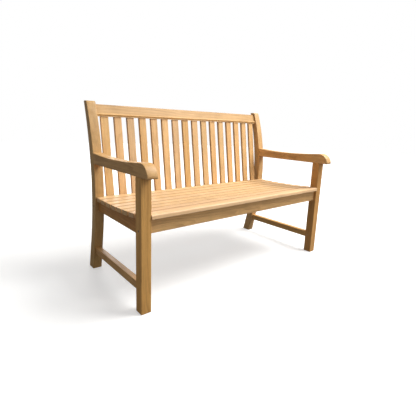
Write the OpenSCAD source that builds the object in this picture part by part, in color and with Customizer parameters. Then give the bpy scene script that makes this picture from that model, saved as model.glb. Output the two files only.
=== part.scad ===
// Garden bench with an upright slatted back, a dished slatted seat and scrolled arms.
// X runs along the length, Y from front to back and Z up from the ground.
// The origin is on the ground, midway along the length and midway along the depth.
// The joinery is drawn with y = 0 at the front of the front legs, and placed at the end.

/* [Overall] */
// Length over the two side frames
bench_w = 1300; // [1100:10:1600]
// Height of the back posts above the ground
bench_h = 905; // [860:5:1100]
// Depth of the seat, from the front of the front legs to the front of the back posts
seat_d = 488; // [400:1:590]
// Height of the seat at its front edge
seat_h = 436; // [400:1:480]
// Height of the underside of the arms
arm_h = 590; // [540:1:710]

/* [Side frames] */
// Thickness of the legs, posts and arms
leg_w = 48; // [40:1:58]
// Depth of the back posts at the waist, where they are upright
post_d = 48.5; // [42:0.5:60]
// Height of the waist of the back posts above the front edge of the seat
waist_rise = 19; // [0:1:40]
// Radius of the curve down the front of the back posts
post_front_r = 1250; // [1100:10:1600]
// Radius of the curve of the rear of the back posts above the waist
post_back_r = 1450; // [1300:10:1800]
// Rake of the front of the rear feet, in degrees
foot_front_rake = 10.8; // [6:0.1:13]
// Rake of the rear of the rear feet, in degrees
foot_back_rake = 13.2; // [8:0.1:15]
// Radius of the front corner at the top of the back posts
post_top_r = 15; // [6:1:20]

/* [Arms] */
// How far the scroll of an arm reaches in front of the front legs
arm_reach = 50; // [40:1:70]
// Radius of the scroll
scroll_r = 58; // [52:1:60]
// Thickness of an arm at the bottom of its dip
arm_dip_t = 46; // [38:1:52]
// Radius of the dip
arm_dip_r = 2600; // [2200:50:3200]
// Radius of the lower front corner of an arm
arm_lip_r = 6; // [3:0.5:8]

/* [Rails] */
// Thickness of the rails of the seat frame
rail_t = 24; // [20:1:28]
// Height of the bottom of the side rails
side_rail_z = 342; // [325:1:345]
// Height of the bottom of the front rail and the centre bearer
front_rail_z = 351; // [335:1:355]
// How far the front rail is set back from the front of the legs
front_rail_set = 15; // [8:0.5:18]
// How far the side rails are set in from the outside of the legs
side_rail_set = 18; // [12:0.5:20]
// Height of the top of the stretchers
stretcher_z = 130; // [100:1:180]
// Height of a stretcher
stretcher_h = 37.5; // [30:0.5:50]
// Thickness of a stretcher
stretcher_t = 28.5; // [22:0.5:32]
// How far the stretchers are set in from the outside of the legs
stretcher_set = 9.5; // [4:0.5:12]

/* [Seat] */
// Number of narrow seat slats behind the front slat
seat_slats = 7; // [5:1:8]
// How far the front seat slat reaches behind the legs
front_slat_past = 22; // [14:1:40]
// How far the front seat slat stands in front of the legs
front_slat_out = 3; // [1:0.5:6]
// Gap between the seat slats
seat_gap = 9; // [5:0.5:14]
// Thickness of the seat slats
seat_slat_t = 21; // [17:0.5:25]
// Radius of the rounded front edge of the front seat slat
front_edge_r = 9; // [4:0.5:12]
// Radius of the other top edges of the seat slats
slat_edge_r = 4; // [1:0.5:8]
// Radius of the dish of the seat
dish_r = 3600; // [2800:50:5000]
// How far the ends of the seat slats are set in from the outside of the legs
seat_end_set = 8; // [4:0.5:14]

/* [Back] */
// Number of upright back slats
back_slats = 16; // [12:1:18]
// Width of a back slat
back_slat_w = 41.5; // [34:0.5:46]
// Thickness of a back slat
back_slat_t = 15.5; // [13:0.5:18]
// How far the top of the top rail is below the tops of the posts
top_rail_drop = 15; // [8:1:24]
// Height of the top rail
top_rail_h = 62; // [50:1:76]
// Thickness of the top rail
top_rail_t = 24; // [22:0.5:28]
// How far the face of the top rail is set back from the front of the posts
top_rail_set = 13; // [8:0.5:15]
// Radius of the bead along the foot of the top rail
bead_r = 6; // [4:0.5:8]
// Thickness of the lower back rail
back_rail_t = 28; // [24:0.5:34]
// Height of the lower back rail
back_rail_h = 62; // [50:1:70]

/* [Joints] */
// Clearance all round a tenon in its mortise and between fitted slats and posts
fit = 0.3; // [0.1:0.1:0.6]
// Thickness of the tenons
tenon_t = 12; // [9:0.5:14]
// Length of the tenons
tenon_l = 34; // [28:1:36]
// Diameter of the pegs
peg_d = 10; // [8:0.5:11]
// Diameter of the shank of the seat screws
screw_d = 4.5; // [3.5:0.5:5]
// Length of the seat screws
screw_l = 40; // [35:1:45]

/* [Hidden] */
leg_x = bench_w / 2 - leg_w;
leg_mid_x = bench_w / 2 - leg_w / 2;
span_w = 2 * leg_x;
eps = 0.01;
far = 2000;

// Point on a circle in Y and Z, at an angle up from its foremost point
function on_arc(centre, r, a) = centre + r * [-cos(a), sin(a)];

// Points along a circle from one such angle to another
function arc(centre, r, a0, a1, steps, first = 0) =
    [for (i = [first : steps]) on_arc(centre, r, a0 + (a1 - a0) * i / steps)];

// Back post: curves about one waist height, and straight raked feet
waist_z = seat_h + waist_rise;
front_c = [seat_d + post_front_r, waist_z];
back_c = [seat_d + post_d + post_back_r, waist_z];
heel_c = [seat_d + post_d + post_front_r, waist_z];
shin = on_arc(front_c, post_front_r, -foot_front_rake);
calf = on_arc(heel_c, post_front_r, -foot_back_rake);
toe_y = shin[0] + shin[1] * tan(foot_front_rake);
heel_y = calf[0] + calf[1] * tan(foot_back_rake);
mid_y = (heel_y - arm_reach) / 2;

// Front of a post at height z, on its curve or on its straight foot
function post_front(z) = z > shin[1]
    ? front_c[0] - sqrt(pow(post_front_r, 2) - pow(z - waist_z, 2))
    : toe_y - z * tan(foot_front_rake);

// Depth inside a post at height z, where a rail is long enough to be cut by the post
function inside_post(z) = post_front(z) + post_d / 2;

// Arm: a dip cut by a large circle that meets the scroll without a corner
scroll_c_y = scroll_r - arm_reach;
dip_y = seat_d * 0.553;
dip_c_z = arm_h + arm_dip_t + arm_dip_r;
scroll_c_z = dip_c_z - sqrt(pow(arm_dip_r + scroll_r, 2) - pow(dip_y - scroll_c_y, 2));
crest_y = scroll_c_y + (dip_y - scroll_c_y) * scroll_r / (arm_dip_r + scroll_r);

// Seat: the tops of the slats touch one large circle, lowest towards the back
dish_y = seat_d * 0.78;
dish_z = seat_h - dish_r + sqrt(pow(dish_r, 2) - pow(dish_y, 2));
dish_c_z = dish_z + dish_r;
front_slat_w = front_slat_out + leg_w + front_slat_past;
slat_lift = 0.02 + pow(front_slat_w / 2, 2) / (2 * (dish_r + seat_slat_t));
narrow_front_y = leg_w + front_slat_past + seat_gap;
back_clear = 1.5;
bearing_r = dish_r + seat_slat_t + slat_lift;
function seat_top(y) = dish_c_z - sqrt(pow(dish_r, 2) - pow(y - dish_y, 2));
function dish_angle(y) = asin((y - dish_y) / dish_r);
seat_end_y = seat_d + 11.5;
slat_end_x = bench_w / 2 - seat_end_set;
front_slat_y = front_slat_w / 2 - front_slat_out;
narrow_w = (seat_end_y - narrow_front_y - (seat_slats - 1) * seat_gap) / seat_slats;
narrow_ys = [for (i = [0 : seat_slats - 1])
    narrow_front_y + narrow_w / 2 + i * (narrow_w + seat_gap)];

// Seat frame
side_rail_x = bench_w / 2 - side_rail_set - rail_t / 2;
shoulder = 12;
side_tenon_h = 28;
side_tenon_z = side_rail_z + shoulder;
upper_tenon_h = 20;
upper_tenon_z = side_tenon_z + side_tenon_h + 5;
long_tenon_l = tenon_l - 4;
front_rail_y = front_rail_set + rail_t / 2;
bearer_t = 28;
bearer_tenon_l = 10;
bearer_tenon_h = 30;
back_rail_y0 = seat_end_y + back_clear;
back_rail_y = back_rail_y0 + back_rail_t / 2;
back_rail_below = 8;
back_rail_z1 = seat_top(back_rail_y0) - back_rail_below;
back_rail_z0 = back_rail_z1 - back_rail_h;

// Stretchers
stretcher_x = bench_w / 2 - stretcher_set - stretcher_t / 2;
stretcher_tenon_h = stretcher_h - shoulder;
stretcher_mid_z = stretcher_z - stretcher_h / 2;

// Tenons of the arms and of the tops of the legs
leg_tenon_set = 9;
leg_tenon_rise = 28;
root = 5;
arm_tenon_z = arm_h + 10;
arm_tenon_h = 26;

// Top rail: a board tangent to the curve of the posts, cut level top and bottom
top_z1 = bench_h - top_rail_drop;
top_z0 = top_z1 - top_rail_h;
top_tilt = asin((top_z1 - top_rail_h / 2 - waist_z) / post_front_r);
top_face_r = post_front_r - top_rail_set;
bead_z = top_z0 + 11;
top_mid_z = (top_z0 + top_z1) / 2;
function top_face(z) =
    front_c[0] - top_face_r / cos(top_tilt) + (z - waist_z) * tan(top_tilt);

// Back slats: straight from the lower back rail to the foot of the top rail
slat_foot_y = back_rail_y0 + 1;
slat_head_y = top_face(top_z0) + 4;
slat_tenon_w = back_slat_w - 8;
slat_tilt = atan2(slat_head_y - slat_foot_y, top_z0 - back_rail_z1);
slat_tenon_t = 9;
slat_tenon_l = 12;
slat_pitch = (span_w + (span_w - back_slats * back_slat_w) / (back_slats + 1)
    - back_slat_w) / back_slats;
function slat_x(i) = (i - (back_slats - 1) / 2) * slat_pitch;

// Pegs and screws: how far in a peg's axis lies, and how far past a tenon it runs
peg_in = 24;
post_peg_in = 22;
arm_rear_peg_in = 18;
rear_peg_d = peg_d - 2;
peg_past = 5;
stretcher_peg_in = 15;
arm_peg_rise = 10;
peg_fit = 0.1;
screw_xs = [-side_rail_x, 0, side_rail_x];
screw_ys = concat([leg_w + front_slat_past / 2], narrow_ys);
screw_bite = 14;
screw_head_d = 8.5;
screw_head_t = 3;
screw_seat_z = screw_bite - seat_slat_t - screw_l;
counterbore_d = 10;
counterbore_l = seat_h / 4;

// Colours
frame_colour = [0.72, 0.51, 0.30];
slat_colour = [0.88, 0.71, 0.50];
seat_colour = [0.97, 0.82, 0.62];
peg_colour = [0.50, 0.33, 0.18];
steel_colour = [0.62, 0.63, 0.64];

SIDES = ["left", "right"];

// ---- Helpers ----

// Moves the drawing frame to the bench's own origin
module place() {
    translate([0, -mid_y, 0])
        children();
}

// The right side frame as drawn, or its mirror image on the left
module on_side(side) {
    mirror([side == "left" ? 1 : 0, 0, 0])
        children();
}

// Outline in Y and Z, extruded along X between two places
module along_x(x0, x1) {
    translate([x0, 0, 0])
        rotate([90, 0, 90])
            linear_extrude(x1 - x0)
                children();
}

// Box from two opposite corners
module block(lo, hi) {
    translate(lo)
        cube(hi - lo);
}

// Children moved onto the dish at depth y, with Z square to the seat there
module on_dish(y) {
    translate([0, dish_y, dish_c_z])
        rotate([dish_angle(y), 0, 0])
            translate([0, 0, -dish_r])
                children();
}

// Everything above the line on which the seat slats bear
module above_bearing() {
    translate([-far / 2, dish_y, dish_c_z])
        rotate([0, 90, 0])
            cylinder(r = bearing_r, h = far, $fn = 720);
}

// ---- Back posts ----

// Outline in Y and Z: up the front, round the top corner and down the rear to the foot
module post_outline() {
    corner_z = bench_h - post_top_r;
    corner_a = asin((corner_z - waist_z) / (post_front_r - post_top_r));
    corner_c = on_arc(front_c, post_front_r - post_top_r, corner_a);
    back_a = asin((bench_h - waist_z) / post_back_r);
    polygon(concat(
        [[heel_y, 0], [toe_y, 0]],
        arc(front_c, post_front_r, -foot_front_rake, corner_a, 32),
        arc(corner_c, post_top_r, corner_a, 90, 8, 1),
        arc(back_c, post_back_r, back_a, 0, 18),
        arc(heel_c, post_front_r, 0, -foot_back_rake, 14, 1)
    ));
}

module post_blank() {
    along_x(leg_x, bench_w / 2)
        post_outline();
}

module back_post(side) {
    color(frame_colour)
        place()
            on_side(side)
                difference() {
                    post_blank();
                    side_rail_bar(fit);
                    stretcher_bar(fit);
                    arm_bar(fit);
                    back_rail_bar(fit);
                    top_rail_bar(fit);
                    frame_pegs_of_side(peg_fit);
                    stretcher_pegs_of_side(peg_fit);
                    arm_pegs_of_side(peg_fit);
                    rear_pegs_of_side(peg_fit);
                }
}

// ---- Front legs ----

module leg_blank() {
    block([leg_x, 0, 0], [bench_w / 2, leg_w, arm_h]);
}

// Tenon on top of the leg, up into the arm
module leg_top_tenon(grow) {
    block([leg_mid_x - tenon_t - grow, leg_tenon_set - grow, arm_h - root],
        [leg_mid_x + tenon_t + grow, leg_w - leg_tenon_set + grow,
            arm_h + leg_tenon_rise + grow]);
}

module front_leg(side) {
    color(frame_colour)
        place()
            on_side(side)
                difference() {
                    union() {
                        leg_blank();
                        leg_top_tenon(0);
                    }
                    side_rail_bar(fit);
                    stretcher_bar(fit);
                    front_rail_bar(fit);
                    frame_pegs_of_side(peg_fit);
                    stretcher_pegs_of_side(peg_fit);
                    arm_pegs_of_side(peg_fit);
                    rear_pegs_of_side(peg_fit);
                }
}

// ---- Arms ----

module arm_outline() {
    difference() {
        translate([crest_y, arm_h])
            square([inside_post(arm_h + arm_dip_t) - crest_y, 3 * arm_dip_t]);
        translate([dip_y, dip_c_z])
            circle(arm_dip_r, $fn = 720);
    }
    intersection() {
        translate([scroll_c_y, scroll_c_z])
            circle(scroll_r, $fn = 96);
        union() {
            translate([-arm_reach, arm_h + arm_lip_r])
                square([crest_y + arm_reach + arm_lip_r, 2 * scroll_r]);
            translate([arm_lip_r - arm_reach, arm_h])
                square([crest_y + arm_reach, 2 * arm_lip_r]);
            translate([arm_lip_r - arm_reach, arm_h + arm_lip_r])
                circle(arm_lip_r, $fn = 48);
        }
    }
}

// Tenon at the back of the arm, into the post
module arm_bar(grow) {
    reach = post_front(arm_h + arm_dip_t / 2) + tenon_l;
    block([leg_mid_x - tenon_t / 2 - grow, seat_d - tenon_l, arm_tenon_z - grow],
        [leg_mid_x + tenon_t / 2 + grow, reach + grow, arm_tenon_z + arm_tenon_h + grow]);
}

module arm(side) {
    color(frame_colour)
        place()
            on_side(side)
                difference() {
                    union() {
                        difference() {
                            along_x(leg_x, bench_w / 2)
                                arm_outline();
                            post_blank();
                        }
                        arm_bar(0);
                    }
                    leg_top_tenon(fit);
                    arm_pegs_of_side(peg_fit);
                }
}

// ---- Seat frame ----

// One bar through both tenons of a side rail
module side_rail_bar(grow) {
    reach = post_front(side_tenon_z) + tenon_l;
    block([side_rail_x - tenon_t / 2 - grow, leg_w - tenon_l - grow, side_tenon_z - grow],
        [side_rail_x + tenon_t / 2 + grow, reach + grow, side_tenon_z + side_tenon_h + grow]);
}

module side_rail(side) {
    color(frame_colour)
        place()
            on_side(side)
                difference() {
                    union() {
                        difference() {
                            block([side_rail_x - rail_t / 2, leg_w, side_rail_z],
                                [side_rail_x + rail_t / 2, inside_post(side_rail_z), seat_h]);
                            post_blank();
                            above_bearing();
                        }
                        side_rail_bar(0);
                    }
                    frame_pegs_of_side(peg_fit);
                    screw_holes(side_rail_x);
                }
}

// Bar centred at depth y, through both end tenons of a long rail of the seat frame
module cross_bar(y, grow) {
    block([-leg_x - long_tenon_l - grow, y - tenon_t / 2 - grow, upper_tenon_z - grow],
        [leg_x + long_tenon_l + grow, y + tenon_t / 2 + grow,
            upper_tenon_z + upper_tenon_h + grow]);
}

module front_rail_bar(grow) {
    cross_bar(front_rail_y, grow);
}

module front_rail() {
    color(frame_colour)
        place()
            difference() {
                union() {
                    difference() {
                        block([-leg_x, front_rail_set, front_rail_z],
                            [leg_x, front_rail_set + rail_t, seat_h]);
                        above_bearing();
                    }
                    front_rail_bar(0);
                }
                bearer_bar(fit);
                for (side = SIDES)
                    on_side(side)
                        rear_pegs_of_side(peg_fit);
            }
}

// One bar through both tenons of the centre bearer
module bearer_bar(grow) {
    block([-tenon_t / 2 - grow, front_rail_set + rail_t - bearer_tenon_l - grow,
            upper_tenon_z - bearer_tenon_h - grow],
        [tenon_t / 2 + grow, back_rail_y0 + bearer_tenon_l + grow, upper_tenon_z + grow]);
}

module seat_bearer() {
    color(frame_colour)
        place()
            difference() {
                union() {
                    difference() {
                        block([-bearer_t / 2, front_rail_set + rail_t, front_rail_z],
                            [bearer_t / 2, back_rail_y0, seat_h]);
                        above_bearing();
                    }
                    bearer_bar(0);
                }
                screw_holes(0);
            }
}

module back_rail_bar(grow) {
    cross_bar(back_rail_y, grow);
}

module lower_back_rail() {
    color(frame_colour)
        place()
            difference() {
                union() {
                    block([-leg_x, back_rail_y0, back_rail_z0],
                        [leg_x, back_rail_y0 + back_rail_t, back_rail_z1]);
                    back_rail_bar(0);
                }
                bearer_bar(fit);
                for (i = [0 : back_slats - 1])
                    back_slat_tenons(i, fit);
                for (side = SIDES)
                    on_side(side)
                        rear_pegs_of_side(peg_fit);
            }
}

// ---- Stretchers ----

// One bar through both tenons of a stretcher
module stretcher_bar(grow) {
    reach = post_front(stretcher_mid_z) + tenon_l;
    z0 = stretcher_mid_z - stretcher_tenon_h / 2;
    block([stretcher_x - tenon_t / 2 - grow, leg_w - tenon_l - grow, z0 - grow],
        [stretcher_x + tenon_t / 2 + grow, reach + grow, z0 + stretcher_tenon_h + grow]);
}

module stretcher(side) {
    color(frame_colour)
        place()
            on_side(side)
                difference() {
                    union() {
                        difference() {
                            block([stretcher_x - stretcher_t / 2, leg_w, stretcher_z - stretcher_h],
                                [stretcher_x + stretcher_t / 2, inside_post(stretcher_mid_z),
                                    stretcher_z]);
                            post_blank();
                        }
                        stretcher_bar(0);
                    }
                    stretcher_pegs_of_side(peg_fit);
                }
}

// ---- Back ----

// Outline of the top rail, with the bead along the foot of its face
module top_rail_outline() {
    depth = top_rail_t / cos(top_tilt);
    polygon([[top_face(top_z0), top_z0], [top_face(top_z1), top_z1],
        [top_face(top_z1) + depth, top_z1], [top_face(top_z0) + depth, top_z0]]);
    translate([top_face(bead_z), bead_z])
        circle(bead_r, $fn = 48);
}

// One bar through both tenons of the top rail
module top_rail_bar(grow) {
    translate([0, top_face(top_mid_z) + top_rail_t / 2, top_mid_z])
        rotate([-top_tilt, 0, 0])
            cube([span_w + 2 * long_tenon_l + 2 * grow, tenon_t + 2 * grow,
                top_rail_h - 2 * shoulder + 2 * grow], center = true);
}

module top_rail() {
    color(frame_colour)
        place()
            difference() {
                union() {
                    along_x(-leg_x, leg_x)
                        top_rail_outline();
                    top_rail_bar(0);
                }
                for (i = [0 : back_slats - 1])
                    back_slat_tenons(i, fit);
                for (side = SIDES)
                    on_side(side)
                        rear_pegs_of_side(peg_fit);
            }
}

// Leaning board centred on slat i, cut level a distance past each shoulder
module leaning_board(i, w, t, past) {
    middle = (slat_foot_y + slat_head_y + back_slat_t / cos(slat_tilt)) / 2;
    intersection() {
        translate([slat_x(i), middle, (top_z0 + back_rail_z1) / 2])
            rotate([-slat_tilt, 0, 0])
                cube([w, t, bench_h], center = true);
        block([slat_x(i) - w, 0, back_rail_z1 - past], [slat_x(i) + w, far / 2, top_z0 + past]);
    }
}

module back_slat_tenons(i, grow) {
    leaning_board(i, slat_tenon_w + 2 * grow, slat_tenon_t + 2 * grow, slat_tenon_l + grow);
}

module back_slat(i) {
    color(slat_colour)
        place()
            union() {
                leaning_board(i, back_slat_w, back_slat_t, 0);
                back_slat_tenons(i, 0);
            }
}

// ---- Seat slats ----

// Section of a seat slat: its top at z = 0, with the two top edges rounded
module slat_outline(w, front_r, back_r) {
    round_r = max(front_r, back_r);
    translate([-w / 2, -seat_slat_t])
        square([w, seat_slat_t - round_r]);
    translate([front_r - w / 2, -round_r - eps])
        square([w - front_r - back_r, round_r + eps]);
    for (edge = [[front_r - w / 2, front_r, -w / 2], [w / 2 - back_r, back_r, w / 2 - back_r]]) {
        translate([edge[0], -edge[1]])
            circle(edge[1], $fn = 48);
        translate([edge[2], -round_r - eps])
            square([edge[1], round_r - edge[1] + eps]);
    }
}

// Pilot holes for the screws that come up into the slat at depth y
module slat_pilots(y) {
    for (x = screw_xs)
        on_dish(y)
            translate([x, 0, -seat_slat_t - root])
                cylinder(d = screw_d + 2 * peg_fit, h = root + screw_bite + peg_fit, $fn = 24);
}

module front_slat() {
    color(seat_colour)
        place()
            difference() {
                on_dish(front_slat_y)
                    along_x(-slat_end_x, slat_end_x)
                        slat_outline(front_slat_w, front_edge_r, slat_edge_r);
                for (side = SIDES)
                    on_side(side)
                        block([leg_x - fit, -leg_w, seat_h - 2 * leg_w],
                            [bench_w, leg_w + fit, seat_h + leg_w]);
                slat_pilots(screw_ys[0]);
            }
}

module seat_slat(i) {
    color(seat_colour)
        place()
            difference() {
                on_dish(narrow_ys[i])
                    along_x(-slat_end_x, slat_end_x)
                        slat_outline(narrow_w, slat_edge_r, slat_edge_r);
                if (narrow_ys[i] + narrow_w / 2 > seat_d - 1)
                    for (side = SIDES)
                        on_side(side)
                            block([leg_x - fit, seat_d - 1, seat_h - 2 * leg_w],
                                [bench_w, seat_d + post_d, seat_h + leg_w]);
                slat_pilots(narrow_ys[i]);
            }
}

// ---- Pegs and screws ----

// Peg across the joint, from the outer face at x1 back to x0
module cross_peg(x0, x1, y, z, grow) {
    translate([x0 - grow, y, z])
        rotate([0, 90, 0])
            cylinder(d = peg_d + 2 * grow, h = x1 - x0 + 2 * grow, $fn = 48);
}

// Pegs of the side rail, through the leg and through the post
module frame_pegs_of_side(grow) {
    z = side_tenon_z + side_tenon_h / 2;
    for (y = [leg_w - peg_in, post_front(z) + post_peg_in])
        cross_peg(side_rail_x - rail_t / 2, bench_w / 2, y, z, grow);
}

// Pegs of the stretcher, from the inner faces
module stretcher_pegs_of_side(grow) {
    for (y = [leg_w - stretcher_peg_in, post_front(stretcher_mid_z) + stretcher_peg_in])
        cross_peg(leg_x, stretcher_x + stretcher_t / 2, y, stretcher_mid_z, grow);
}

// Pegs of the arm, from the inner faces
module arm_pegs_of_side(grow) {
    z = arm_tenon_z + arm_tenon_h / 2;
    cross_peg(leg_x, leg_mid_x + tenon_t + peg_past, leg_w / 2, arm_h + arm_peg_rise, grow);
    cross_peg(leg_x, leg_mid_x + tenon_t / 2 + peg_past, post_front(z) + arm_rear_peg_in, z, grow);
}

// Pegs of the three long rails, from the rear faces of the legs and posts
module rear_pegs_of_side(grow) {
    x = leg_x + long_tenon_l / 2;
    z = upper_tenon_z + upper_tenon_h / 2;
    d = rear_peg_d + 2 * grow;
    past = tenon_t / 2 + peg_past + grow;
    translate([x, leg_w, z])
        rotate([90, 0, 0])
            cylinder(d = d, h = leg_w - front_rail_y + past, $fn = 48);
    intersection() {
        post_blank();
        union() {
            translate([x, back_rail_y - past, z])
                rotate([-90, 0, 0])
                    cylinder(d = d, h = post_d, $fn = 48);
            translate([x, top_face(top_mid_z) + top_rail_t / 2, top_mid_z])
                rotate([-90 - top_tilt, 0, 0])
                    translate([0, 0, -past])
                        cylinder(d = d, h = post_d, $fn = 48);
        }
    }
}

// Both sides' pegs of one kind
module both_sides() {
    color(peg_colour)
        place()
            for (side = SIDES)
                on_side(side)
                    children();
}

// Screw holes and counterbores, up from below through a bearer at x
module screw_holes(x) {
    for (y = screw_ys)
        on_dish(y)
            translate([x, 0, screw_seat_z]) {
                cylinder(d = screw_d + 2 * peg_fit, h = screw_l, $fn = 24);
                translate([0, 0, -counterbore_l])
                    cylinder(d = counterbore_d, h = counterbore_l + screw_head_t, $fn = 24);
            }
}

module seat_screws() {
    color(steel_colour)
        place()
            for (x = screw_xs, y = screw_ys)
                on_dish(y)
                    translate([x, 0, screw_seat_z]) {
                        cylinder(d = screw_d, h = screw_l, $fn = 24);
                        cylinder(d = screw_head_d, h = screw_head_t, $fn = 24);
                    }
}

// ---- Nodes ----

for (side = SIDES) {
    back_post(side);
    front_leg(side);
    arm(side);
    side_rail(side);
    stretcher(side);
}
front_rail();
seat_bearer();
lower_back_rail();
top_rail();
for (i = [1 : back_slats])
    back_slat(i - 1);
front_slat();
for (i = [1 : seat_slats])
    seat_slat(i - 1);
both_sides() frame_pegs_of_side(0);  // seat_frame_pegs
both_sides() stretcher_pegs_of_side(0);  // stretcher_pegs
both_sides() arm_pegs_of_side(0);  // arm_pegs
both_sides() rear_pegs_of_side(0);  // cross_rail_pegs
seat_screws();
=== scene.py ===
"""Garden bench in oiled teak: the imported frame's boards with eased edges and figured wood."""

import bmesh
import bpy
import math
import random
from bpy.props import FloatProperty, FloatVectorProperty, PointerProperty
from mathutils import Matrix, Vector


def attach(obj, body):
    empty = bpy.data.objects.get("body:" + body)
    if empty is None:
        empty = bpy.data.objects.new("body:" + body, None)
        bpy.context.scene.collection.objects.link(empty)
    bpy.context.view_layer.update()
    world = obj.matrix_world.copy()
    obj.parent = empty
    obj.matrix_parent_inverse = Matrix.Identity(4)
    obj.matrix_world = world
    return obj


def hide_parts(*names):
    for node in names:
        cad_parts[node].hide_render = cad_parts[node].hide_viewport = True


bl_info = {
    "name": "Garden bench",
    "version": (1, 0, 0),
    "blender": (4, 5, 0),
    "location": "View3D > Sidebar > Garden bench",
    "description": "Builds a slatted teak garden bench around its packed frame",
    "category": "Object",
}

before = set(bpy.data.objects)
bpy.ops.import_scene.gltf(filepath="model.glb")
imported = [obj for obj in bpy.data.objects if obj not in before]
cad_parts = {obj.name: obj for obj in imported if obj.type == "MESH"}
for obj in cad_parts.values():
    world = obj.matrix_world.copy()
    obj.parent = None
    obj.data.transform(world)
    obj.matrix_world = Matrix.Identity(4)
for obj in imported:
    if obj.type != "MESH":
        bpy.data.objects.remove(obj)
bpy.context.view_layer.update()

SEED = 41

# How close points are that count as one, as lying in a face, or as lying on a cut, how far
# inside its ends a board's outline is read, and how far off its limits an outer edge may lie
MERGE = 0.00002
ON_FACE = 1e-4
ON_CUT = 1e-5
INSIDE = 1e-6
SLACK = 0.0003
DISH_SLACK = 0.0027
# Steps at which curved boards are split, and how the rounded edges are made
POST_STEP = 0.05
ARM_STEP = 0.04
PEG_EASE = 0.0005
EDGE_SEGMENTS = 3
PEG_SEGMENTS = 2
# Angles between faces that are one flat face, that meet in an edge, or that crease a broad face,
# how large a broad face is, and how squarely a face looks the way that is asked for
FLAT = math.radians(0.2)
SHARP = math.radians(30)
CREASE = math.radians(8)
BROAD_FACE = 0.0004
FACES_SO = 0.9

# Ranges of the random draws: the pith's place and slope in a board's own axes, in metres, and
# how far hue and saturation stray
PITH_ASIDE = (-0.05, 0.05)
PITH_BELOW = (0.03, 0.14)
PITH_ALONG = (0, 40)
SLOPE_ASIDE = (-0.02, 0.02)
SLOPE_BELOW = (-0.035, 0.035)
HUE_SPREAD = 0.003
SATURATION_SHARE = 0.6

# Tones of boards that stand out from their timber: shift of hue, saturation and value
PLAIN_TONE = (0.0, 0.0, 0.0)
POST_TONE = (0.005, -0.11, -0.06)
ARM_TONE = (0.003, -0.10, 0.08)
# The side rails are darker and redder as painted shade, for the shadow under the seat slats
SIDE_RAIL_SHADE_TONE = (-0.006, 0.04, -0.20)
FRONT_RAIL_TONE = (0.002, -0.10, 0.14)
STRETCHER_TONE = (0.003, -0.05, 0.08)
TOP_RAIL_TONE = (0.009, -0.05, -0.15)
SLAT_TONES = {3: (-0.002, -0.06, -0.17), 4: (0.0, 0.04, -0.05), 7: (-0.003, -0.08, 0.0),
              8: (-0.001, 0.08, -0.05), 10: (0.0, 0.0, -0.07), 12: (0.0, -0.04, -0.10)}
PEG_TONES = {"seat_frame_pegs": (0.0, -0.2, -0.40), "stretcher_pegs": (0.0, -0.1, 0.30),
             "arm_pegs": (0.0, -0.1, 0.45), "cross_rail_pegs": (0.0, 0.0, -0.1)}

# The bead of the top rail: the tilt of the back there, how far the painted highlight on the bead
# reaches behind the foremost edge, and how much paler that painted highlight makes it
TOP_TILT = math.radians(18.86)
BEAD_RISE = 0.0045
BEAD_HIGHLIGHT = 1.15

# Cells of each noise per metre: across a board, through it and along it
SWAY_CELLS = (9.0, 9.0, 1.6)
DRIFT_CELLS = (30.0, 30.0, 0.8)
FIBRE_CELLS = (620.0, 620.0, 11.0)
PORE_CELLS = (1900.0, 1900.0, 95.0)
BAND_CELLS = (42.0, 42.0, 1.0)
STREAK_CELLS = (60.0, 60.0, 1.3)
WEAR_CELLS = (40.0, 40.0, 40.0)
TURNING_CELLS = (900.0, 900.0, 5000.0)
SPOT_CELLS = 300.0
OIL_CELLS = 9.0

# Ranges that a value is read over: from and to, and what it stands for at each end
LATE_WOOD = (0.30, 0.93)
RING_TAIL = (0.93, 1.0, 1.0, 0.0)
RING_FAINT = (0.32, 0.68, 0.35, 1.0)
FAINT_SCALE = 2.3
PORE_DOTS = (0.60, 0.72)
PORE_ZONE = (0.25, 0.0)
BAND_RANGE = (0.30, 0.70)
FIBRE_LIGHT = (0.32, 0.70, 1.10, 0.84)
OIL_RANGE = (0.3, 0.7)
OIL_LIGHT = (0.0, 1.0, 1.04, 0.93)
END_DEPTH = (0.0004, 0.0016, 1.0, 0.0)
STEEL_GLOSS = (0.3, 0.7, 0.28, 0.46)

# How the figure is drawn: its sway in metres, the drift of its rings in turns, the width of worn
# edges, the depth of the painted shade on slat sides along gaps, and how strongly each feature
# shows
WAVINESS = 0.0055
WAVE_GAIN = 6.0
RING_DRIFT = 2.2
WEAR_REACH = 0.004
GAP_SHADE_DEPTH = 0.006
BAND_SHOW = 0.62
PORE_SHOW = 0.45
WEAR_SHOW = 0.22
DULL_SHOW = 0.5

# Sheen and relief: roughness over the fibres, and what oil patches and end grain add to it; how
# far fibres rise and rings sink
WOOD_SPECULAR = 0.42
FIBRE_RANGE = (0.3, 0.7)
FIBRE_ROUGH = (-0.07, 0.08)
OIL_ROUGH = 0.07
END_ROUGH = 0.2
FIBRE_RISE = 0.5
RING_SINK = 0.35
RELIEF = {"Strength": 0.35, "Distance": 0.0006}

# Tints of features, as shares of the timber's dark or light colour, or of the steel's
RING_TINT = (0.62, 0.50, 0.38)
# Painted shade on the slat sides along the gaps
GAP_SHADE_TINT = (0.62, 0.50, 0.38)
END_TINT = (0.62, 0.52, 0.40)
PORE_TINT = (0.30, 0.22, 0.15)
WEAR_TINT = (1.12, 1.12, 1.15)
DULL_TINT = (0.7, 0.66, 0.6)
MOTTLE_TINT = (0.985, 0.985, 0.985)

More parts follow.
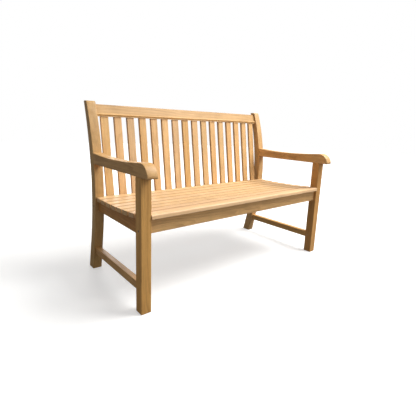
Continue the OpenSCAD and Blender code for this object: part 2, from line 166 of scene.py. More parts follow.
# The stage: the floor's radius and where it has run out into white, and the lamps' place, the
# height they are turned to, their size and colour
FLOOR_RADIUS = 12.0
FLOOR_SIDES = 64
FLOOR_FADE = (1.3, 3.2)
MOTTLE_SCALE = 1.5
LAMPS = {"key": ((2.0, -1.25, 3.6), 0.4, 2.8, (1.0, 0.99, 0.97)),
         "front": ((1.0, -4.6, 2.2), 0.5, 2.6, (1.0, 0.99, 0.98)),
         "back": ((0.8, 4.4, 2.0), 0.5, 2.6, (1.0, 0.99, 0.98))}
SENSOR_WIDTH = 36.0
CAMERA_SHIFT = (0.0226, -0.0399)
CAMERA_REACH = 50.0

SIDES = ("left", "right")
BACK_SLATS = sum(name.startswith("back_slat_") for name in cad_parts)
SEAT_SLATS = sum(name.startswith("seat_slat_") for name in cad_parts)


# ---- Sizes and colours a user may change ----

class BenchTeakSettings(bpy.types.PropertyGroup):
    """Sizes and colours of the wood and the metal"""

    frame_ease: FloatProperty(
        name="Frame edges", description="Width of the eased edges of legs, posts, arms and rails",
        default=0.0024, min=0.0005, max=0.004, subtype="DISTANCE", unit="LENGTH")
    slat_ease: FloatProperty(
        name="Slat edges", description="Width of the eased edges of the slats",
        default=0.0016, min=0.0005, max=0.003, subtype="DISTANCE", unit="LENGTH")
    ring_width: FloatProperty(
        name="Growth rings", description="Distance between growth rings in the frame timber",
        default=0.0065, min=0.002, max=0.012, subtype="DISTANCE", unit="LENGTH")
    tone_spread: FloatProperty(
        name="Tone spread", description="How much lighter or darker one board is than the next",
        default=0.06, min=0.0, max=0.4, subtype="FACTOR")
    frame_light: FloatVectorProperty(
        name="Frame, early wood", description="Pale wood between the growth rings of the frame",
        default=(0.71, 0.392, 0.128), size=3, min=0, max=1, subtype="COLOR")
    frame_dark: FloatVectorProperty(
        name="Frame, late wood", description="Dark lines of the growth rings of the frame",
        default=(0.435, 0.195, 0.048), size=3, min=0, max=1, subtype="COLOR")
    back_light: FloatVectorProperty(
        name="Back slats, early wood", description="Pale wood of the back slats",
        default=(0.79, 0.51, 0.24), size=3, min=0, max=1, subtype="COLOR")
    back_dark: FloatVectorProperty(
        name="Back slats, late wood", description="Darker streaks of the back slats",
        default=(0.59, 0.34, 0.13), size=3, min=0, max=1, subtype="COLOR")
    seat_light: FloatVectorProperty(
        name="Seat slats, early wood", description="Pale wood of the seat slats",
        default=(0.79, 0.535, 0.29), size=3, min=0, max=1, subtype="COLOR")
    seat_dark: FloatVectorProperty(
        name="Seat slats, late wood", description="Darker streaks of the seat slats",
        default=(0.61, 0.355, 0.16), size=3, min=0, max=1, subtype="COLOR")
    peg_colour: FloatVectorProperty(
        name="Pegs", description="End grain of the pegs",
        default=(0.40, 0.225, 0.10), size=3, min=0, max=1, subtype="COLOR")
    steel_colour: FloatVectorProperty(
        name="Screws", description="Plain steel of the seat screws",
        default=(0.52, 0.52, 0.53), size=3, min=0, max=1, subtype="COLOR")


class BenchStageSettings(bpy.types.PropertyGroup):
    """Floor, light and camera around the bench"""

    lens: FloatProperty(
        name="Lens", description="Focal length of the camera in millimetres",
        default=27.62, min=10, max=200)
    camera_place: FloatVectorProperty(
        name="Camera place", description="Where the camera stands, from the bench's origin",
        default=(-1.238, -1.371, 0.795), size=3, subtype="TRANSLATION", unit="LENGTH")
    camera_turn: FloatVectorProperty(
        name="Camera turn",
        description="Heading to the right, downward tilt and roll of the camera",
        default=(math.radians(38.76), math.radians(11.54), math.radians(1.91)), size=3,
        subtype="EULER", unit="ROTATION")
    key_power: FloatProperty(
        name="Key light", description="Power of the soft light from above, on the right",
        default=255.0, min=0, max=5000, unit="POWER")
    back_power: FloatProperty(
        name="Back light", description="Power of the weak light behind",
        default=80.0, min=0, max=5000, unit="POWER")
    front_power: FloatProperty(
        name="Front light", description="Power of the broad light in front",
        default=30.0, min=0, max=5000, unit="POWER")
    sky: FloatProperty(
        name="Sky", description="Brightness of the pale surroundings",
        default=0.33, min=0, max=5)
    floor_colour: FloatVectorProperty(
        name="Floor", description="Pale floor that the bench stands on",
        default=(0.72, 0.72, 0.715), size=3, min=0, max=1, subtype="COLOR")
    floor_lift: FloatProperty(
        name="Floor lift",
        description="Least brightness of the floor, which keeps its shadows pale",
        default=0.42, min=0, max=1, subtype="FACTOR")
    floor_bounce: FloatProperty(
        name="Floor bounce", description="Share of the light that the floor throws back up",
        default=0.20, min=0, max=1, subtype="FACTOR")


def teak():
    """The settings of the wood and the metal"""
    return bpy.context.scene.bench_teak


def stage():
    """The settings of the floor, light and camera"""
    return bpy.context.scene.bench_stage


# ---- Node trees ----

def put(tree, kind, label="", **settings):
    """A new node in a tree, with its settings"""
    node = tree.nodes.new(kind)
    node.label = label
    for key, value in settings.items():
        setattr(node, key, value)
    return node


def feed(tree, node, **inputs):
    """Sets a node's inputs by name or number: sockets are linked, values are set"""
    for key, value in inputs.items():
        socket = node.inputs[int(key[1:]) if key[1:].isdigit() else key.replace("_", " ")]
        if isinstance(value, bpy.types.NodeSocket):
            tree.links.new(value, socket)
        else:
            socket.default_value = value
    return node


def sums(tree, operation, *values, clamp=False):
    """Output of a Math node"""
    node = put(tree, "ShaderNodeMath", operation=operation, use_clamp=clamp)
    feed(tree, node, **{f"i{i}": value for i, value in enumerate(values)})
    return node.outputs[0]


def vector_sums(tree, operation, *values, out=0):
    """Output of a Vector Math node"""
    node = put(tree, "ShaderNodeVectorMath", operation=operation)
    feed(tree, node, **{f"i{i}": value for i, value in enumerate(values)})
    return node.outputs[out]


def steps(tree, value, lo, hi, to_lo=0.0, to_hi=1.0, smooth=True):
    """Maps a value from one range to another, clamped, with soft ends"""
    node = put(tree, "ShaderNodeMapRange", interpolation_type="SMOOTHSTEP" if smooth else "LINEAR")
    feed(tree, node, Value=value, From_Min=lo, From_Max=hi, To_Min=to_lo, To_Max=to_hi)
    return node.outputs[0]


def noise(tree, vector, scale, detail=2.0, rough=0.5, out=0):
    """Output of a Noise node: its value, or its colour as output 1"""
    node = put(tree, "ShaderNodeTexNoise")
    feed(tree, node, Vector=vector, Scale=scale, Detail=detail, Roughness=rough)
    return node.outputs[out]


def stretched(tree, vector, cells, detail=2.0, rough=0.5):
    """Noise with its own number of cells per metre along each axis"""
    return noise(tree, vector_sums(tree, "MULTIPLY", vector, cells), 1.0, detail, rough)


def scaled(tree, vector, factor):
    """A vector or colour times a number"""
    output = vector_sums(tree, "SCALE", vector)
    feed(tree, output.node, Scale=factor)
    return output


def blend(tree, factor, a, b):
    """Colour output of a Mix node, whose sockets 6 and 7 and output 2 carry colours"""
    node = put(tree, "ShaderNodeMix", data_type="RGBA")
    feed(tree, node, i0=factor, i6=a, i7=b)
    return node.outputs[2]


def tinted(colour, shares=(1, 1, 1)):
    """A colour with each channel scaled, as a colour socket takes it"""
    return (*(channel * share for channel, share in zip(colour, shares)), 1)


def new_group(name, inputs, outputs):
    """An empty shader node group with named sockets: its tree, its inputs and its output node"""
    tree = bpy.data.node_groups.new(name, "ShaderNodeTree")
    for kind, sockets in (("INPUT", inputs), ("OUTPUT", outputs)):
        for label, socket_type, value in sockets:
            socket = tree.interface.new_socket(label, in_out=kind, socket_type=socket_type)
            if value is not None:
                socket.default_value = value
    return tree, put(tree, "NodeGroupInput").outputs, put(tree, "NodeGroupOutput")


def figure_group():
    """Growth rings about a pith, with fibres, pores and broad bands that run along the board"""
    tree, given, result = new_group(
        "Teak figure",
        [("Grain", "NodeSocketVector", None), ("Ring Width", "NodeSocketFloat", 0.006),
         ("Waviness", "NodeSocketFloat", WAVINESS)],
        [("Rings", "NodeSocketFloat", None), ("Fibres", "NodeSocketFloat", None),
         ("Pores", "NodeSocketFloat", None), ("Bands", "NodeSocketFloat", None)])
    grain = given["Grain"]
    slow = vector_sums(tree, "MULTIPLY", grain, SWAY_CELLS)
    sway = noise(tree, slow, 1.0, 3.0, 0.55, out=1)
    centred = vector_sums(tree, "SUBTRACT", sway, (0.5, 0.5, 0.5))
    bend = scaled(tree, centred, sums(tree, "MULTIPLY", given["Waviness"], WAVE_GAIN))
    bent = vector_sums(tree, "MULTIPLY", vector_sums(tree, "ADD", grain, bend), (1.0, 1.0, 0.0))
    radius = vector_sums(tree, "LENGTH", bent, out=1)
    turns = sums(tree, "DIVIDE", radius, given["Ring Width"])
    uneven = stretched(tree, grain, DRIFT_CELLS, 1.0)
    drift = sums(tree, "MULTIPLY", uneven, RING_DRIFT)
    turn = sums(tree, "FRACT", sums(tree, "ADD", turns, drift))
    late = steps(tree, turn, *LATE_WOOD)
    tail = steps(tree, turn, *RING_TAIL)
    faint = steps(tree, noise(tree, slow, FAINT_SCALE), *RING_FAINT)
    rings = sums(tree, "MULTIPLY", sums(tree, "MULTIPLY", late, tail), faint)
    fibres = stretched(tree, grain, FIBRE_CELLS, 3.0, 0.62)
    short = stretched(tree, grain, PORE_CELLS, 1.0, 0.4)
    pores = sums(tree, "MULTIPLY", steps(tree, short, *PORE_DOTS), steps(tree, turn, *PORE_ZONE))
    bands = stretched(tree, bent, BAND_CELLS)
    streaks = stretched(tree, grain, STREAK_CELLS)
    feed(tree, result, Rings=rings, Fibres=fibres, Pores=pores,
         Bands=sums(tree, "MULTIPLY", sums(tree, "ADD", bands, streaks), 0.5))
    return tree


def edges_group():
    """Masks of a board's worn edges, its end grain and the painted shade on its narrow sides along
    gaps, from its own measures
    """
    tree, given, result = new_group(
        "Board edges",
        [("Local", "NodeSocketVector", None), ("Half", "NodeSocketVector", None),
         ("Reach", "NodeSocketFloat", WEAR_REACH)],
        [("Edge", "NodeSocketFloat", None), ("End", "NodeSocketFloat", None),
         ("Gap", "NodeSocketFloat", None)])
    depth = vector_sums(tree, "SUBTRACT", given["Half"],
                        vector_sums(tree, "ABSOLUTE", given["Local"]))
    parts = put(tree, "ShaderNodeSeparateXYZ")
    feed(tree, parts, Vector=depth)
    across, through, along = parts.outputs
    to_edge = sums(tree, "MAXIMUM", across, through)
    uneven = stretched(tree, given["Local"], WEAR_CELLS, 3.0)
    reach = sums(tree, "MULTIPLY", given["Reach"], sums(tree, "ADD", uneven, 0.5))
    edge = sums(tree, "SUBTRACT", 1.0, sums(tree, "DIVIDE", to_edge, reach), clamp=True)
    # The gap mask is painted shade on the narrow sides that face the gaps between slats
    feed(tree, result, Edge=edge, End=steps(tree, along, *END_DEPTH),
         Gap=steps(tree, across, GAP_SHADE_DEPTH * 0.1, GAP_SHADE_DEPTH, 1.0, 0.0))
    return tree


def dust_group():
    """Faint cloudy patches, for uneven oil on the wood and dull spots on the steel"""
    tree, given, result = new_group(
        "Uneven oil",
        [("Place", "NodeSocketVector", None), ("Scale", "NodeSocketFloat", OIL_CELLS)],
        [("Patches", "NodeSocketFloat", None)])
    cloud = noise(tree, given["Place"], given["Scale"], 4.0, 0.55)
    feed(tree, result, Patches=steps(tree, cloud, *OIL_RANGE))
    return tree


def shared(name, maker):
    """The node group of that name, made the first time it is asked for"""
    return bpy.data.node_groups.get(name) or maker()


def placed(tree, group, **inputs):
    """A group node in a material, with its values"""
    node = put(tree, "ShaderNodeGroup", label=group.name)
    node.node_tree = group
    return feed(tree, node, **inputs)


def attribute(tree, name):
    """One of the vectors that each point of a board carries"""
    return put(tree, "ShaderNodeAttribute", attribute_name=name).outputs["Vector"]


def empty_material(name):
    """A new material with only a Principled shader: the material, its tree and its shader"""
    material = bpy.data.materials.new(name)
    material.use_nodes = True
    return material, material.node_tree, material.node_tree.nodes["Principled BSDF"]


def teak_material(name, light, dark, ring_width, ring_strength, rough, ends, gaps):
    """Oiled teak whose figure follows each board's own grain attribute"""
    material, tree, shader = empty_material(name)
    figure = placed(tree, shared("Teak figure", figure_group), Grain=attribute(tree, "grain"),
                    Ring_Width=ring_width, Waviness=WAVINESS).outputs
    edges = placed(tree, shared("Board edges", edges_group), Local=attribute(tree, "local"),
                   Half=attribute(tree, "half"), Reach=WEAR_REACH).outputs
    place = put(tree, "ShaderNodeTexCoord").outputs["Object"]
    patches = placed(tree, shared("Uneven oil", dust_group), Place=place).outputs["Patches"]
    tones = put(tree, "ShaderNodeSeparateXYZ")
    feed(tree, tones, Vector=attribute(tree, "tone"))

    bands = steps(tree, figure["Bands"], *BAND_RANGE, smooth=False)
    colour = blend(tree, sums(tree, "MULTIPLY", bands, BAND_SHOW), tinted(light), tinted(dark))
    colour = blend(tree, sums(tree, "MULTIPLY", figure["Rings"], ring_strength), colour,
                   tinted(dark, RING_TINT))
    colour = scaled(tree, colour, steps(tree, figure["Fibres"], *FIBRE_LIGHT, smooth=False))
    for mask, share, tint in (
            (figure["Pores"], PORE_SHOW, tinted(dark, PORE_TINT)),
            (edges["End"], ends, tinted(dark, END_TINT)),
            (edges["Edge"], WEAR_SHOW, tinted(light, WEAR_TINT)),
            # Painted shade darkens the slat sides along the gaps
            (edges["Gap"], gaps, tinted(dark, GAP_SHADE_TINT))):
        colour = blend(tree, sums(tree, "MULTIPLY", mask, share), colour, tint)
    colour = scaled(tree, colour, steps(tree, patches, *OIL_LIGHT, smooth=False))
    board = put(tree, "ShaderNodeHueSaturation")
    feed(tree, board, Color=colour, Hue=tones.outputs["X"], Saturation=tones.outputs["Y"],
         Value=tones.outputs["Z"])
    feed(tree, shader, Base_Color=board.outputs["Color"], Specular_IOR_Level=WOOD_SPECULAR)

    gloss = steps(tree, figure["Fibres"], *FIBRE_RANGE, *(rough + part for part in FIBRE_ROUGH))
    gloss = sums(tree, "ADD", gloss, sums(tree, "MULTIPLY", patches, OIL_ROUGH))
    gloss = sums(tree, "ADD", gloss, sums(tree, "MULTIPLY", edges["End"], END_ROUGH))
    feed(tree, shader, Roughness=gloss)
    sunk = sums(tree, "MULTIPLY", figure["Rings"], RING_SINK)
    raised = sums(tree, "MULTIPLY", figure["Fibres"], FIBRE_RISE)
    height = sums(tree, "SUBTRACT", raised, sums(tree, "ADD", figure["Pores"], sunk))
    relief = put(tree, "ShaderNodeBump")
    feed(tree, relief, Height=height, **RELIEF)
    feed(tree, shader, Normal=relief.outputs["Normal"])
    return material


def steel_material(name):
    """Plain steel with fine turning marks and a little dullness"""
    material, tree, shader = empty_material(name)
    place = put(tree, "ShaderNodeTexCoord").outputs["Object"]
    marks = stretched(tree, place, TURNING_CELLS)
    patches = placed(tree, shared("Uneven oil", dust_group), Place=place,
                     Scale=SPOT_CELLS).outputs["Patches"]
    colour = teak().steel_colour
    feed(tree, shader,
         Base_Color=blend(tree, sums(tree, "MULTIPLY", patches, DULL_SHOW), tinted(colour),
                          tinted(colour, DULL_TINT)),
         Roughness=steps(tree, marks, *STEEL_GLOSS), Metallic=1.0)
    return material


def finish_of(slot):
    """The material of one of the record's slots, made the first time it is asked for"""
    name = "bench_" + slot
    if name in bpy.data.materials:
        return bpy.data.materials[name]
    look = teak()
    if slot == "screw_steel":
        return steel_material(name)
    # Light and dark wood, ring width and strength, roughness, how dark ends are, and how strong
    # the painted shade on slat sides along the gaps is
    light, dark, rings, strength, rough, ends, gaps = {
        "teak_frame": (look.frame_light, look.frame_dark, 1.0, 0.36, 0.46, 0.34, 0.0),
        "teak_back": (look.back_light, look.back_dark, 0.8, 0.28, 0.48, 0.30, 0.10),
        "teak_seat": (look.seat_light, look.seat_dark, 0.9, 0.26, 0.44, 0.16, 0.72),
        "teak_peg": (look.peg_colour, look.peg_colour, 0.3, 0.30, 0.52, 0.20, 0.0),
    }[slot]
    return teak_material(name, tuple(light), tuple(dark), look.ring_width * rings, strength, rough,
                         ends, gaps)


# ---- Boards ----

class Board:
    """A board's axes and outline: w along it, u across its broad face and v through it"""

    def __init__(self, bm, along, facing=None):
        faces = [face for face in bm.faces if facing is None or face.normal.dot(facing) > FACES_SO]
        broad = max(faces, key=lambda face: face.calc_area())
        self.v = broad.normal.copy()
        self.w = (along - self.v * along.dot(self.v)).normalized()
        self.u = self.w.cross(self.v)
        level = broad.verts[0].co.dot(self.v)
        through = [vert.co.dot(self.v) for vert in bm.verts]
        self.v_mid = (max(through) + min(through)) / 2
        self.v_half = (max(through) - min(through)) / 2
        self.rim = [tuple((vert.co.dot(self.w), vert.co.dot(self.u)) for vert in edge.verts)
                    for edge in bm.edges
                    if all(abs(vert.co.dot(self.v) - level) < ON_FACE for vert in edge.verts)]
        ends = [place for edge in self.rim for place, _ in edge]
        self.w_lo, self.w_hi = min(ends), max(ends)

    def width_at(self, w):
        """Lowest and highest u of the board's outline at w"""
        w = min(max(w, self.w_lo + INSIDE), self.w_hi - INSIDE)
        crossings = []
        for (w0, u0), (w1, u1) in self.rim:
            if w0 == w == w1:
                crossings += [u0, u1]
            elif min(w0, w1) <= w <= max(w0, w1):
                crossings.append(u0 + (u1 - u0) * ((w - w0) / (w1 - w0)))
        return (min(crossings), max(crossings)) if crossings else (0.0, 0.0)

    def measures(self, point):
        """A point from the board's middle, and the half sizes of the board there"""
        w = point.dot(self.w)
        lo, hi = self.width_at(w)
        local = Vector((point.dot(self.u) - (lo + hi) / 2, point.dot(self.v) - self.v_mid,
                        w - (self.w_lo + self.w_hi) / 2))
        return local, Vector(((hi - lo) / 2, self.v_half, (self.w_hi - self.w_lo) / 2))

    def on_rim(self, point, slack):
        """Whether a point lies on an outer edge of the board: at two of its limits at once"""
        local, half = self.measures(point)
        gaps = sorted(half[i] - abs(local[i]) for i in range(3))
        return gaps[0] > -slack / 2 and gaps[1] < slack


def merged_copy(node):
    """A bmesh of a CAD node with its loose triangles joined and its flat faces made whole"""
    bm = bmesh.new()
    bm.from_mesh(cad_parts[node].data)
    bmesh.ops.remove_doubles(bm, verts=bm.verts, dist=MERGE)
    bmesh.ops.dissolve_limit(bm, angle_limit=FLAT, use_dissolve_boundaries=False,
                             verts=bm.verts, edges=bm.edges, delimit={"NORMAL"})
    bm.normal_update()
    return bm


def ease_edges(bm, board, width, ends, slack):
    """Rounds the board's outer edges, and those of the ends that stand free"""
    chosen = []
    for edge in bm.edges:
        if len(edge.link_faces) != 2 or edge.calc_face_angle(0) < SHARP:
            continue
        if not all(board.on_rim(vert.co, slack) for vert in edge.verts):
            continue
        w0, w1 = (vert.co.dot(board.w) for vert in edge.verts)
        at_low = max(w0, w1) < board.w_lo + slack
        at_high = min(w0, w1) > board.w_hi - slack
        if (at_low and "low" not in ends) or (at_high and "high" not in ends):
            continue
        chosen.append(edge)
    bmesh.ops.bevel(bm, geom=chosen, offset=width, offset_type="OFFSET",
                    segments=EDGE_SEGMENTS, profile=0.5, affect="EDGES", clamp_overlap=False,
                    material=-1)
    bmesh.ops.dissolve_degenerate(bm, dist=MERGE, edges=bm.edges)


def cut_across(bm, board, every):
    """Splits a long board at even steps, so that its measures follow its curve"""
    count = int((board.w_hi - board.w_lo) / every)
    for i in range(1, count):
        place = board.w * (board.w_lo + (board.w_hi - board.w_lo) * i / count)
        bmesh.ops.bisect_plane(bm, geom=bm.verts[:] + bm.edges[:] + bm.faces[:],
                               dist=ON_CUT, plane_co=place, plane_no=board.w)


def shade(bm):
    """Smooth over the curves, crisp where a broad face meets another"""
    for face in bm.faces:
        face.smooth = True
    for edge in bm.edges:
        angle = edge.calc_face_angle(0) if len(edge.link_faces) == 2 else 0
        broad = any(face.calc_area() > BROAD_FACE for face in edge.link_faces)
        edge.smooth = angle < (CREASE if broad else SHARP)


def mark_grain(mesh, board, chance, tone):
    """Writes each board's grain, measures and tone as attributes of its points"""
    pith = Vector((chance.uniform(*PITH_ASIDE),
                   chance.choice((-1, 1)) * chance.uniform(*PITH_BELOW),
                   chance.uniform(*PITH_ALONG)))
    slope = (chance.uniform(*SLOPE_ASIDE), chance.uniform(*SLOPE_BELOW))
    middle = (board.w_lo + board.w_hi) / 2
    centre = Vector((sum(board.width_at(middle)) / 2, board.v_mid, middle))
    rows = {"grain": [], "local": [], "half": []}
    for vert in mesh.vertices:
        local, half = board.measures(vert.co)
        straight = Vector((vert.co.dot(board.u), vert.co.dot(board.v), vert.co.dot(board.w)))
        straight -= centre
        grain = straight + pith
        grain.x += straight.z * slope[0]
        grain.y += straight.z * slope[1]
        rows["grain"].extend(grain)
        rows["local"].extend(local)
        rows["half"].extend(half)
    rows["tone"] = list(tone) * len(mesh.vertices)
    for name, values in rows.items():
        mesh.attributes.new(name, "FLOAT_VECTOR", "POINT").data.foreach_set("vector", values)


def make_piece(name, bm, slot, nodes):
    """Turns a bmesh into a piece that stands for CAD nodes and rides on their body"""
    mesh = bpy.data.meshes.new(name)
    bm.to_mesh(mesh)
    bm.free()
    if "custom_normal" in mesh.attributes:
        mesh.attributes.remove(mesh.attributes["custom_normal"])
    mesh.materials.append(finish_of(slot))
    piece = bpy.data.objects.new(name, mesh)
    bpy.context.scene.collection.objects.link(piece)
    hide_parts(*nodes)
    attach(piece, "root")
    return piece


def clear_front_edge(mesh):
    """Moves a slat's measures so that only its rear side counts as lying along a gap and gets
    painted shade
    """
    local = mesh.attributes["local"].data
    front = min(range(len(mesh.vertices)), key=lambda i: mesh.vertices[i].co.y)
    step = -math.copysign(GAP_SHADE_DEPTH, local[front].vector.x)
    for place in local:
        place.vector.x += step


def chance_for(name):
    """Random numbers of a piece's own, the same on every run"""
    return random.Random(f"{SEED} {name}")


def tone_for(name, shift):
    """Hue, saturation and value of one board, around the timber's own"""
    chance = chance_for("tone " + name)
    spread = teak().tone_spread
    return (0.5 + shift[0] + chance.uniform(-HUE_SPREAD, HUE_SPREAD),
            1.0 + shift[1] + chance.uniform(-SATURATION_SHARE, SATURATION_SHARE) * spread,
            1.0 + shift[2] + chance.uniform(-1.0, 1.0) * spread)


def finish_board(node, along, slot, ease, ends=(), slack=SLACK, every=0.0, shift=PLAIN_TONE,
                 facing=None):
    """One board of the bench, from its CAD node: eased, marked with its grain and finished

    ends names those that stand free, every is the step at which a curved board is split, shift
    is its tone, and facing is the way its broad face looks where the largest face isn't it.
    """
    bm = merged_copy(node)
    board = Board(bm, Vector(along), facing)
    ease_edges(bm, board, ease, ends, slack)
    if every:
        cut_across(bm, board, every)
    shade(bm)
    piece = make_piece(node + "_board", bm, slot, [node])
    mark_grain(piece.data, board, chance_for(node), tone_for(node, shift))
    return piece


# ---- Operators ----

class BENCH_OT_posts(bpy.types.Operator):
    """Curved back posts with rounded tops"""

    bl_idname = "bench.posts"
    bl_label = "Back posts"

    def execute(self, context):
        for side in SIDES:
            finish_board(f"back_post_{side}", (0, 0, 1), "teak_frame", teak().frame_ease,
                         ends=("low", "high"), every=POST_STEP, shift=POST_TONE)
        return {"FINISHED"}


class BENCH_OT_legs(bpy.types.Operator):
    """Square front legs"""

    bl_idname = "bench.legs"
    bl_label = "Front legs"

    def execute(self, context):
        for side in SIDES:
            finish_board(f"front_leg_{side}", (0, 0, 1), "teak_frame", teak().frame_ease,
                         ends=("low",))
        return {"FINISHED"}


class BENCH_OT_arms(bpy.types.Operator):
    """Arms with a long dip and a scrolled front"""

    bl_idname = "bench.arms"
    bl_label = "Arms"

    def execute(self, context):
        for side in SIDES:
            finish_board(f"arm_{side}", (0, 1, 0), "teak_frame", teak().frame_ease,
                         ends=("low",), every=ARM_STEP, shift=ARM_TONE)
        return {"FINISHED"}


class BENCH_OT_rails(bpy.types.Operator):
    """Side rails, front rail, centre bearer and lower back rail under the seat"""

    bl_idname = "bench.rails"
    bl_label = "Seat frame"

    def execute(self, context):
        ease = teak().slat_ease
        for side in SIDES:
            # The side rails' tone is painted shade from the overhanging seat slats
            finish_board(f"side_rail_{side}", (0, 1, 0), "teak_frame", ease,
                         shift=SIDE_RAIL_SHADE_TONE)
        finish_board("front_rail", (1, 0, 0), "teak_frame", ease, shift=FRONT_RAIL_TONE)
        finish_board("seat_bearer", (0, 1, 0), "teak_frame", ease)
        finish_board("lower_back_rail", (1, 0, 0), "teak_frame", ease)
        return {"FINISHED"}


class BENCH_OT_stretchers(bpy.types.Operator):
    """Stretchers low between the legs and the posts"""

    bl_idname = "bench.stretchers"
    bl_label = "Stretchers"

    def execute(self, context):
        for side in SIDES:
            finish_board(f"stretcher_{side}", (0, 1, 0), "teak_frame", teak().frame_ease,
                         shift=STRETCHER_TONE)
        return {"FINISHED"}


class BENCH_OT_top_rail(bpy.types.Operator):
    """Top rail with a bead along the foot of its face, and a painted highlight on the bead"""

    bl_idname = "bench.top_rail"
    bl_label = "Top rail"

    def execute(self, context):
        piece = finish_board("top_rail", (1, 0, 0), "teak_frame", teak().frame_ease,
                             shift=TOP_RAIL_TONE)
        depths = [vert.co.y - vert.co.z * math.tan(TOP_TILT) for vert in piece.data.vertices]
        bead = min(depths) + BEAD_RISE
        # Painted highlight: the front of the bead is made paler where it catches the light
        for depth, tone in zip(depths, piece.data.attributes["tone"].data):
            if depth < bead:
                tone.vector.z *= BEAD_HIGHLIGHT
        return {"FINISHED"}


class BENCH_OT_back_slats(bpy.types.Operator):
    """Upright slats of the back"""

    bl_idname = "bench.back_slats"
    bl_label = "Back slats"

    def execute(self, context):
        for i in range(1, BACK_SLATS + 1):
            finish_board(f"back_slat_{i}", (0, 0, 1), "teak_back", teak().slat_ease,
                         shift=SLAT_TONES.get(i, PLAIN_TONE))
        return {"FINISHED"}


class BENCH_OT_seat_slats(bpy.types.Operator):
    """Seat slats along the dish of the seat"""

    bl_idname = "bench.seat_slats"
    bl_label = "Seat slats"

    def execute(self, context):
        for node in ["front_slat"] + [f"seat_slat_{i}" for i in range(1, SEAT_SLATS + 1)]:
            piece = finish_board(node, (1, 0, 0), "teak_seat", teak().slat_ease,
                                 ends=("low", "high"), slack=DISH_SLACK,
                                 facing=Vector((0, 0, -1)))
            if node == "front_slat":
                clear_front_edge(piece.data)
        return {"FINISHED"}


class BENCH_OT_pegs(bpy.types.Operator):
    """Pegs through the joints, cut flush and slightly rounded"""

    bl_idname = "bench.pegs"
    bl_label = "Pegs"

    def execute(self, context):
        for node, shift in PEG_TONES.items():
            bm = merged_copy(node)
            board = Board(bm, Vector((0, 1, 0) if node == "cross_rail_pegs" else (1, 0, 0)))
            rims = [edge for edge in bm.edges if len(edge.link_faces) == 2
                    and edge.calc_face_angle(0) > SHARP]
            bmesh.ops.bevel(bm, geom=rims, offset=PEG_EASE, offset_type="OFFSET",
                            segments=PEG_SEGMENTS, profile=0.5, affect="EDGES",
                            clamp_overlap=True, material=-1)
            shade(bm)
            piece = make_piece(node + "_turned", bm, "teak_peg", [node])
            mark_grain(piece.data, board, chance_for(node), tone_for(node, shift))
        return {"FINISHED"}


class BENCH_OT_screws(bpy.types.Operator):
    """Screws that hold the seat slats from below"""

    bl_idname = "bench.screws"
    bl_label = "Seat screws"

    def execute(self, context):
        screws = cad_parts["seat_screws"]
        screws.data.materials.clear()
        screws.data.materials.append(finish_of("screw_steel"))
        return {"FINISHED"}


class BENCH_OT_stage(bpy.types.Operator):
    """Pale floor, white surroundings, soft lights and the camera"""

    bl_idname = "bench.stage"
    bl_label = "Stage"

    def execute(self, context):
        build_floor()
        build_surroundings()
        build_lights()
        build_camera()
        return {"FINISHED"}


def floor_material():
    """Pale matt floor, very slightly mottled, that runs out into the white surroundings"""
    material, tree, shader = empty_material("floor")
    look = stage()
    place = put(tree, "ShaderNodeTexCoord").outputs["Object"]
    seen = put(tree, "ShaderNodeLightPath").outputs["Is Camera Ray"]
    pale = blend(tree, noise(tree, place, MOTTLE_SCALE, 3.0), tinted(look.floor_colour),
                 tinted(look.floor_colour, MOTTLE_TINT))
    dull = (look.floor_bounce,) * 3
    feed(tree, shader, Base_Color=blend(tree, seen, tinted(dull), pale))
    away = steps(tree, vector_sums(tree, "LENGTH", place, out=1), *FLOOR_FADE)
    lift = steps(tree, away, 0.0, 1.0, look.floor_lift, 1.0, smooth=False)
    feed(tree, shader, Emission_Color=blend(tree, sums(tree, "MULTIPLY", lift, seen),
                                            (0, 0, 0, 1), (1, 1, 1, 1)))
    feed(tree, shader, Emission_Strength=1.0, Roughness=0.9, Specular_IOR_Level=0.1)
    return material


def build_floor():
    """A broad round floor"""
    bm = bmesh.new()
    bmesh.ops.create_circle(bm, cap_ends=True, radius=FLOOR_RADIUS,
                            segments=FLOOR_SIDES)
    mesh = bpy.data.meshes.new("floor")
    bm.to_mesh(mesh)
    bm.free()
    mesh.materials.append(floor_material())
    floor = bpy.data.objects.new("floor", mesh)
    bpy.context.scene.collection.objects.link(floor)


def area_light(name, place, height, size, colour, power):
    """A round soft light turned towards a point at some height over the bench's origin"""
    light = bpy.data.lights.new(name, "AREA")
    light.shape = "DISK"
    light.size = size
    light.energy = power
    light.color = colour
    lamp = bpy.data.objects.new(name, light)
    lamp.location = place
    beam = Vector((0, 0, height)) - lamp.location
    lamp.rotation_euler = beam.to_track_quat("-Z", "Y").to_euler()
    bpy.context.scene.collection.objects.link(lamp)


def build_surroundings():
    """White to look at, and weaker as a light from all round"""
    world = bpy.data.worlds.new("surroundings")
    world.use_nodes = True
    tree = world.node_tree
    seen = put(tree, "ShaderNodeLightPath").outputs["Is Camera Ray"]
    strength = steps(tree, seen, 0.0, 1.0, stage().sky, 1.0, smooth=False)
    feed(tree, tree.nodes["Background"], Color=(1.0, 1.0, 1.0, 1.0), Strength=strength)
    bpy.context.scene.world = world
    bpy.context.scene.view_settings.view_transform = "Standard"


def build_lights():
    """A broad soft light overhead, and weak ones in front and behind"""
    powers = {"key": stage().key_power, "front": stage().front_power, "back": stage().back_power}
    for name, lamp in LAMPS.items():
        area_light(name, *lamp, powers[name])


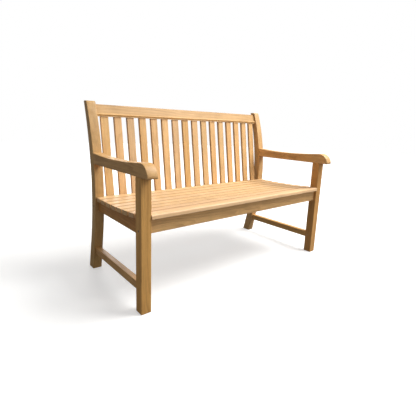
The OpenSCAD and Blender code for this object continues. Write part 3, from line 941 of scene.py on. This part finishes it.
def build_camera():
    """The camera: its heading, tilt and roll turned into its three axes"""
    look = stage()
    heading, tilt, roll = look.camera_turn
    forward = Vector((math.sin(heading) * math.cos(tilt), math.cos(heading) * math.cos(tilt),
                      -math.sin(tilt)))
    right = forward.cross(Vector((0, 0, 1))).normalized()
    up = right.cross(forward)
    x_axis = right * math.cos(roll) + up * math.sin(roll)
    y_axis = up * math.cos(roll) - right * math.sin(roll)
    data = bpy.data.cameras.new("camera")
    data.lens = look.lens
    data.sensor_width = SENSOR_WIDTH
    data.shift_x, data.shift_y = CAMERA_SHIFT
    data.clip_end = CAMERA_REACH
    camera = bpy.data.objects.new("camera", data)
    turn = Matrix((x_axis, y_axis, -forward)).transposed()
    camera.matrix_world = Matrix.Translation(Vector(look.camera_place)) @ turn.to_4x4()
    bpy.context.scene.collection.objects.link(camera)
    bpy.context.scene.camera = camera


PIECE_OPERATORS = (BENCH_OT_posts, BENCH_OT_legs, BENCH_OT_arms, BENCH_OT_rails,
                   BENCH_OT_stretchers, BENCH_OT_top_rail, BENCH_OT_back_slats,
                   BENCH_OT_seat_slats, BENCH_OT_pegs, BENCH_OT_screws, BENCH_OT_stage)


class BENCH_PT_panel(bpy.types.Panel):
    """Lists the bench's operators and settings in the sidebar"""

    bl_idname = "BENCH_PT_panel"
    bl_label = "Garden bench"
    bl_space_type = "VIEW_3D"
    bl_region_type = "UI"
    bl_category = "Garden bench"

    def draw(self, context):
        for operator in PIECE_OPERATORS:
            self.layout.operator(operator.bl_idname)
        for settings in (context.scene.bench_teak, context.scene.bench_stage):
            box = self.layout.box()
            for name in settings.__annotations__:
                box.prop(settings, name)


CLASSES = (BenchTeakSettings, BenchStageSettings, *PIECE_OPERATORS, BENCH_PT_panel)


def register():
    """Adds the bench's operators, settings and panel"""
    for cls in CLASSES:
        bpy.utils.register_class(cls)
    bpy.types.Scene.bench_teak = PointerProperty(type=BenchTeakSettings)
    bpy.types.Scene.bench_stage = PointerProperty(type=BenchStageSettings)


def unregister():
    """Takes them away again"""
    del bpy.types.Scene.bench_stage
    del bpy.types.Scene.bench_teak
    for cls in reversed(CLASSES):
        bpy.utils.unregister_class(cls)


def main():
    register()
    for operator in PIECE_OPERATORS:
        group, name = operator.bl_idname.split(".")
        getattr(getattr(bpy.ops, group), name)()


if __name__ == "__main__":
    main()
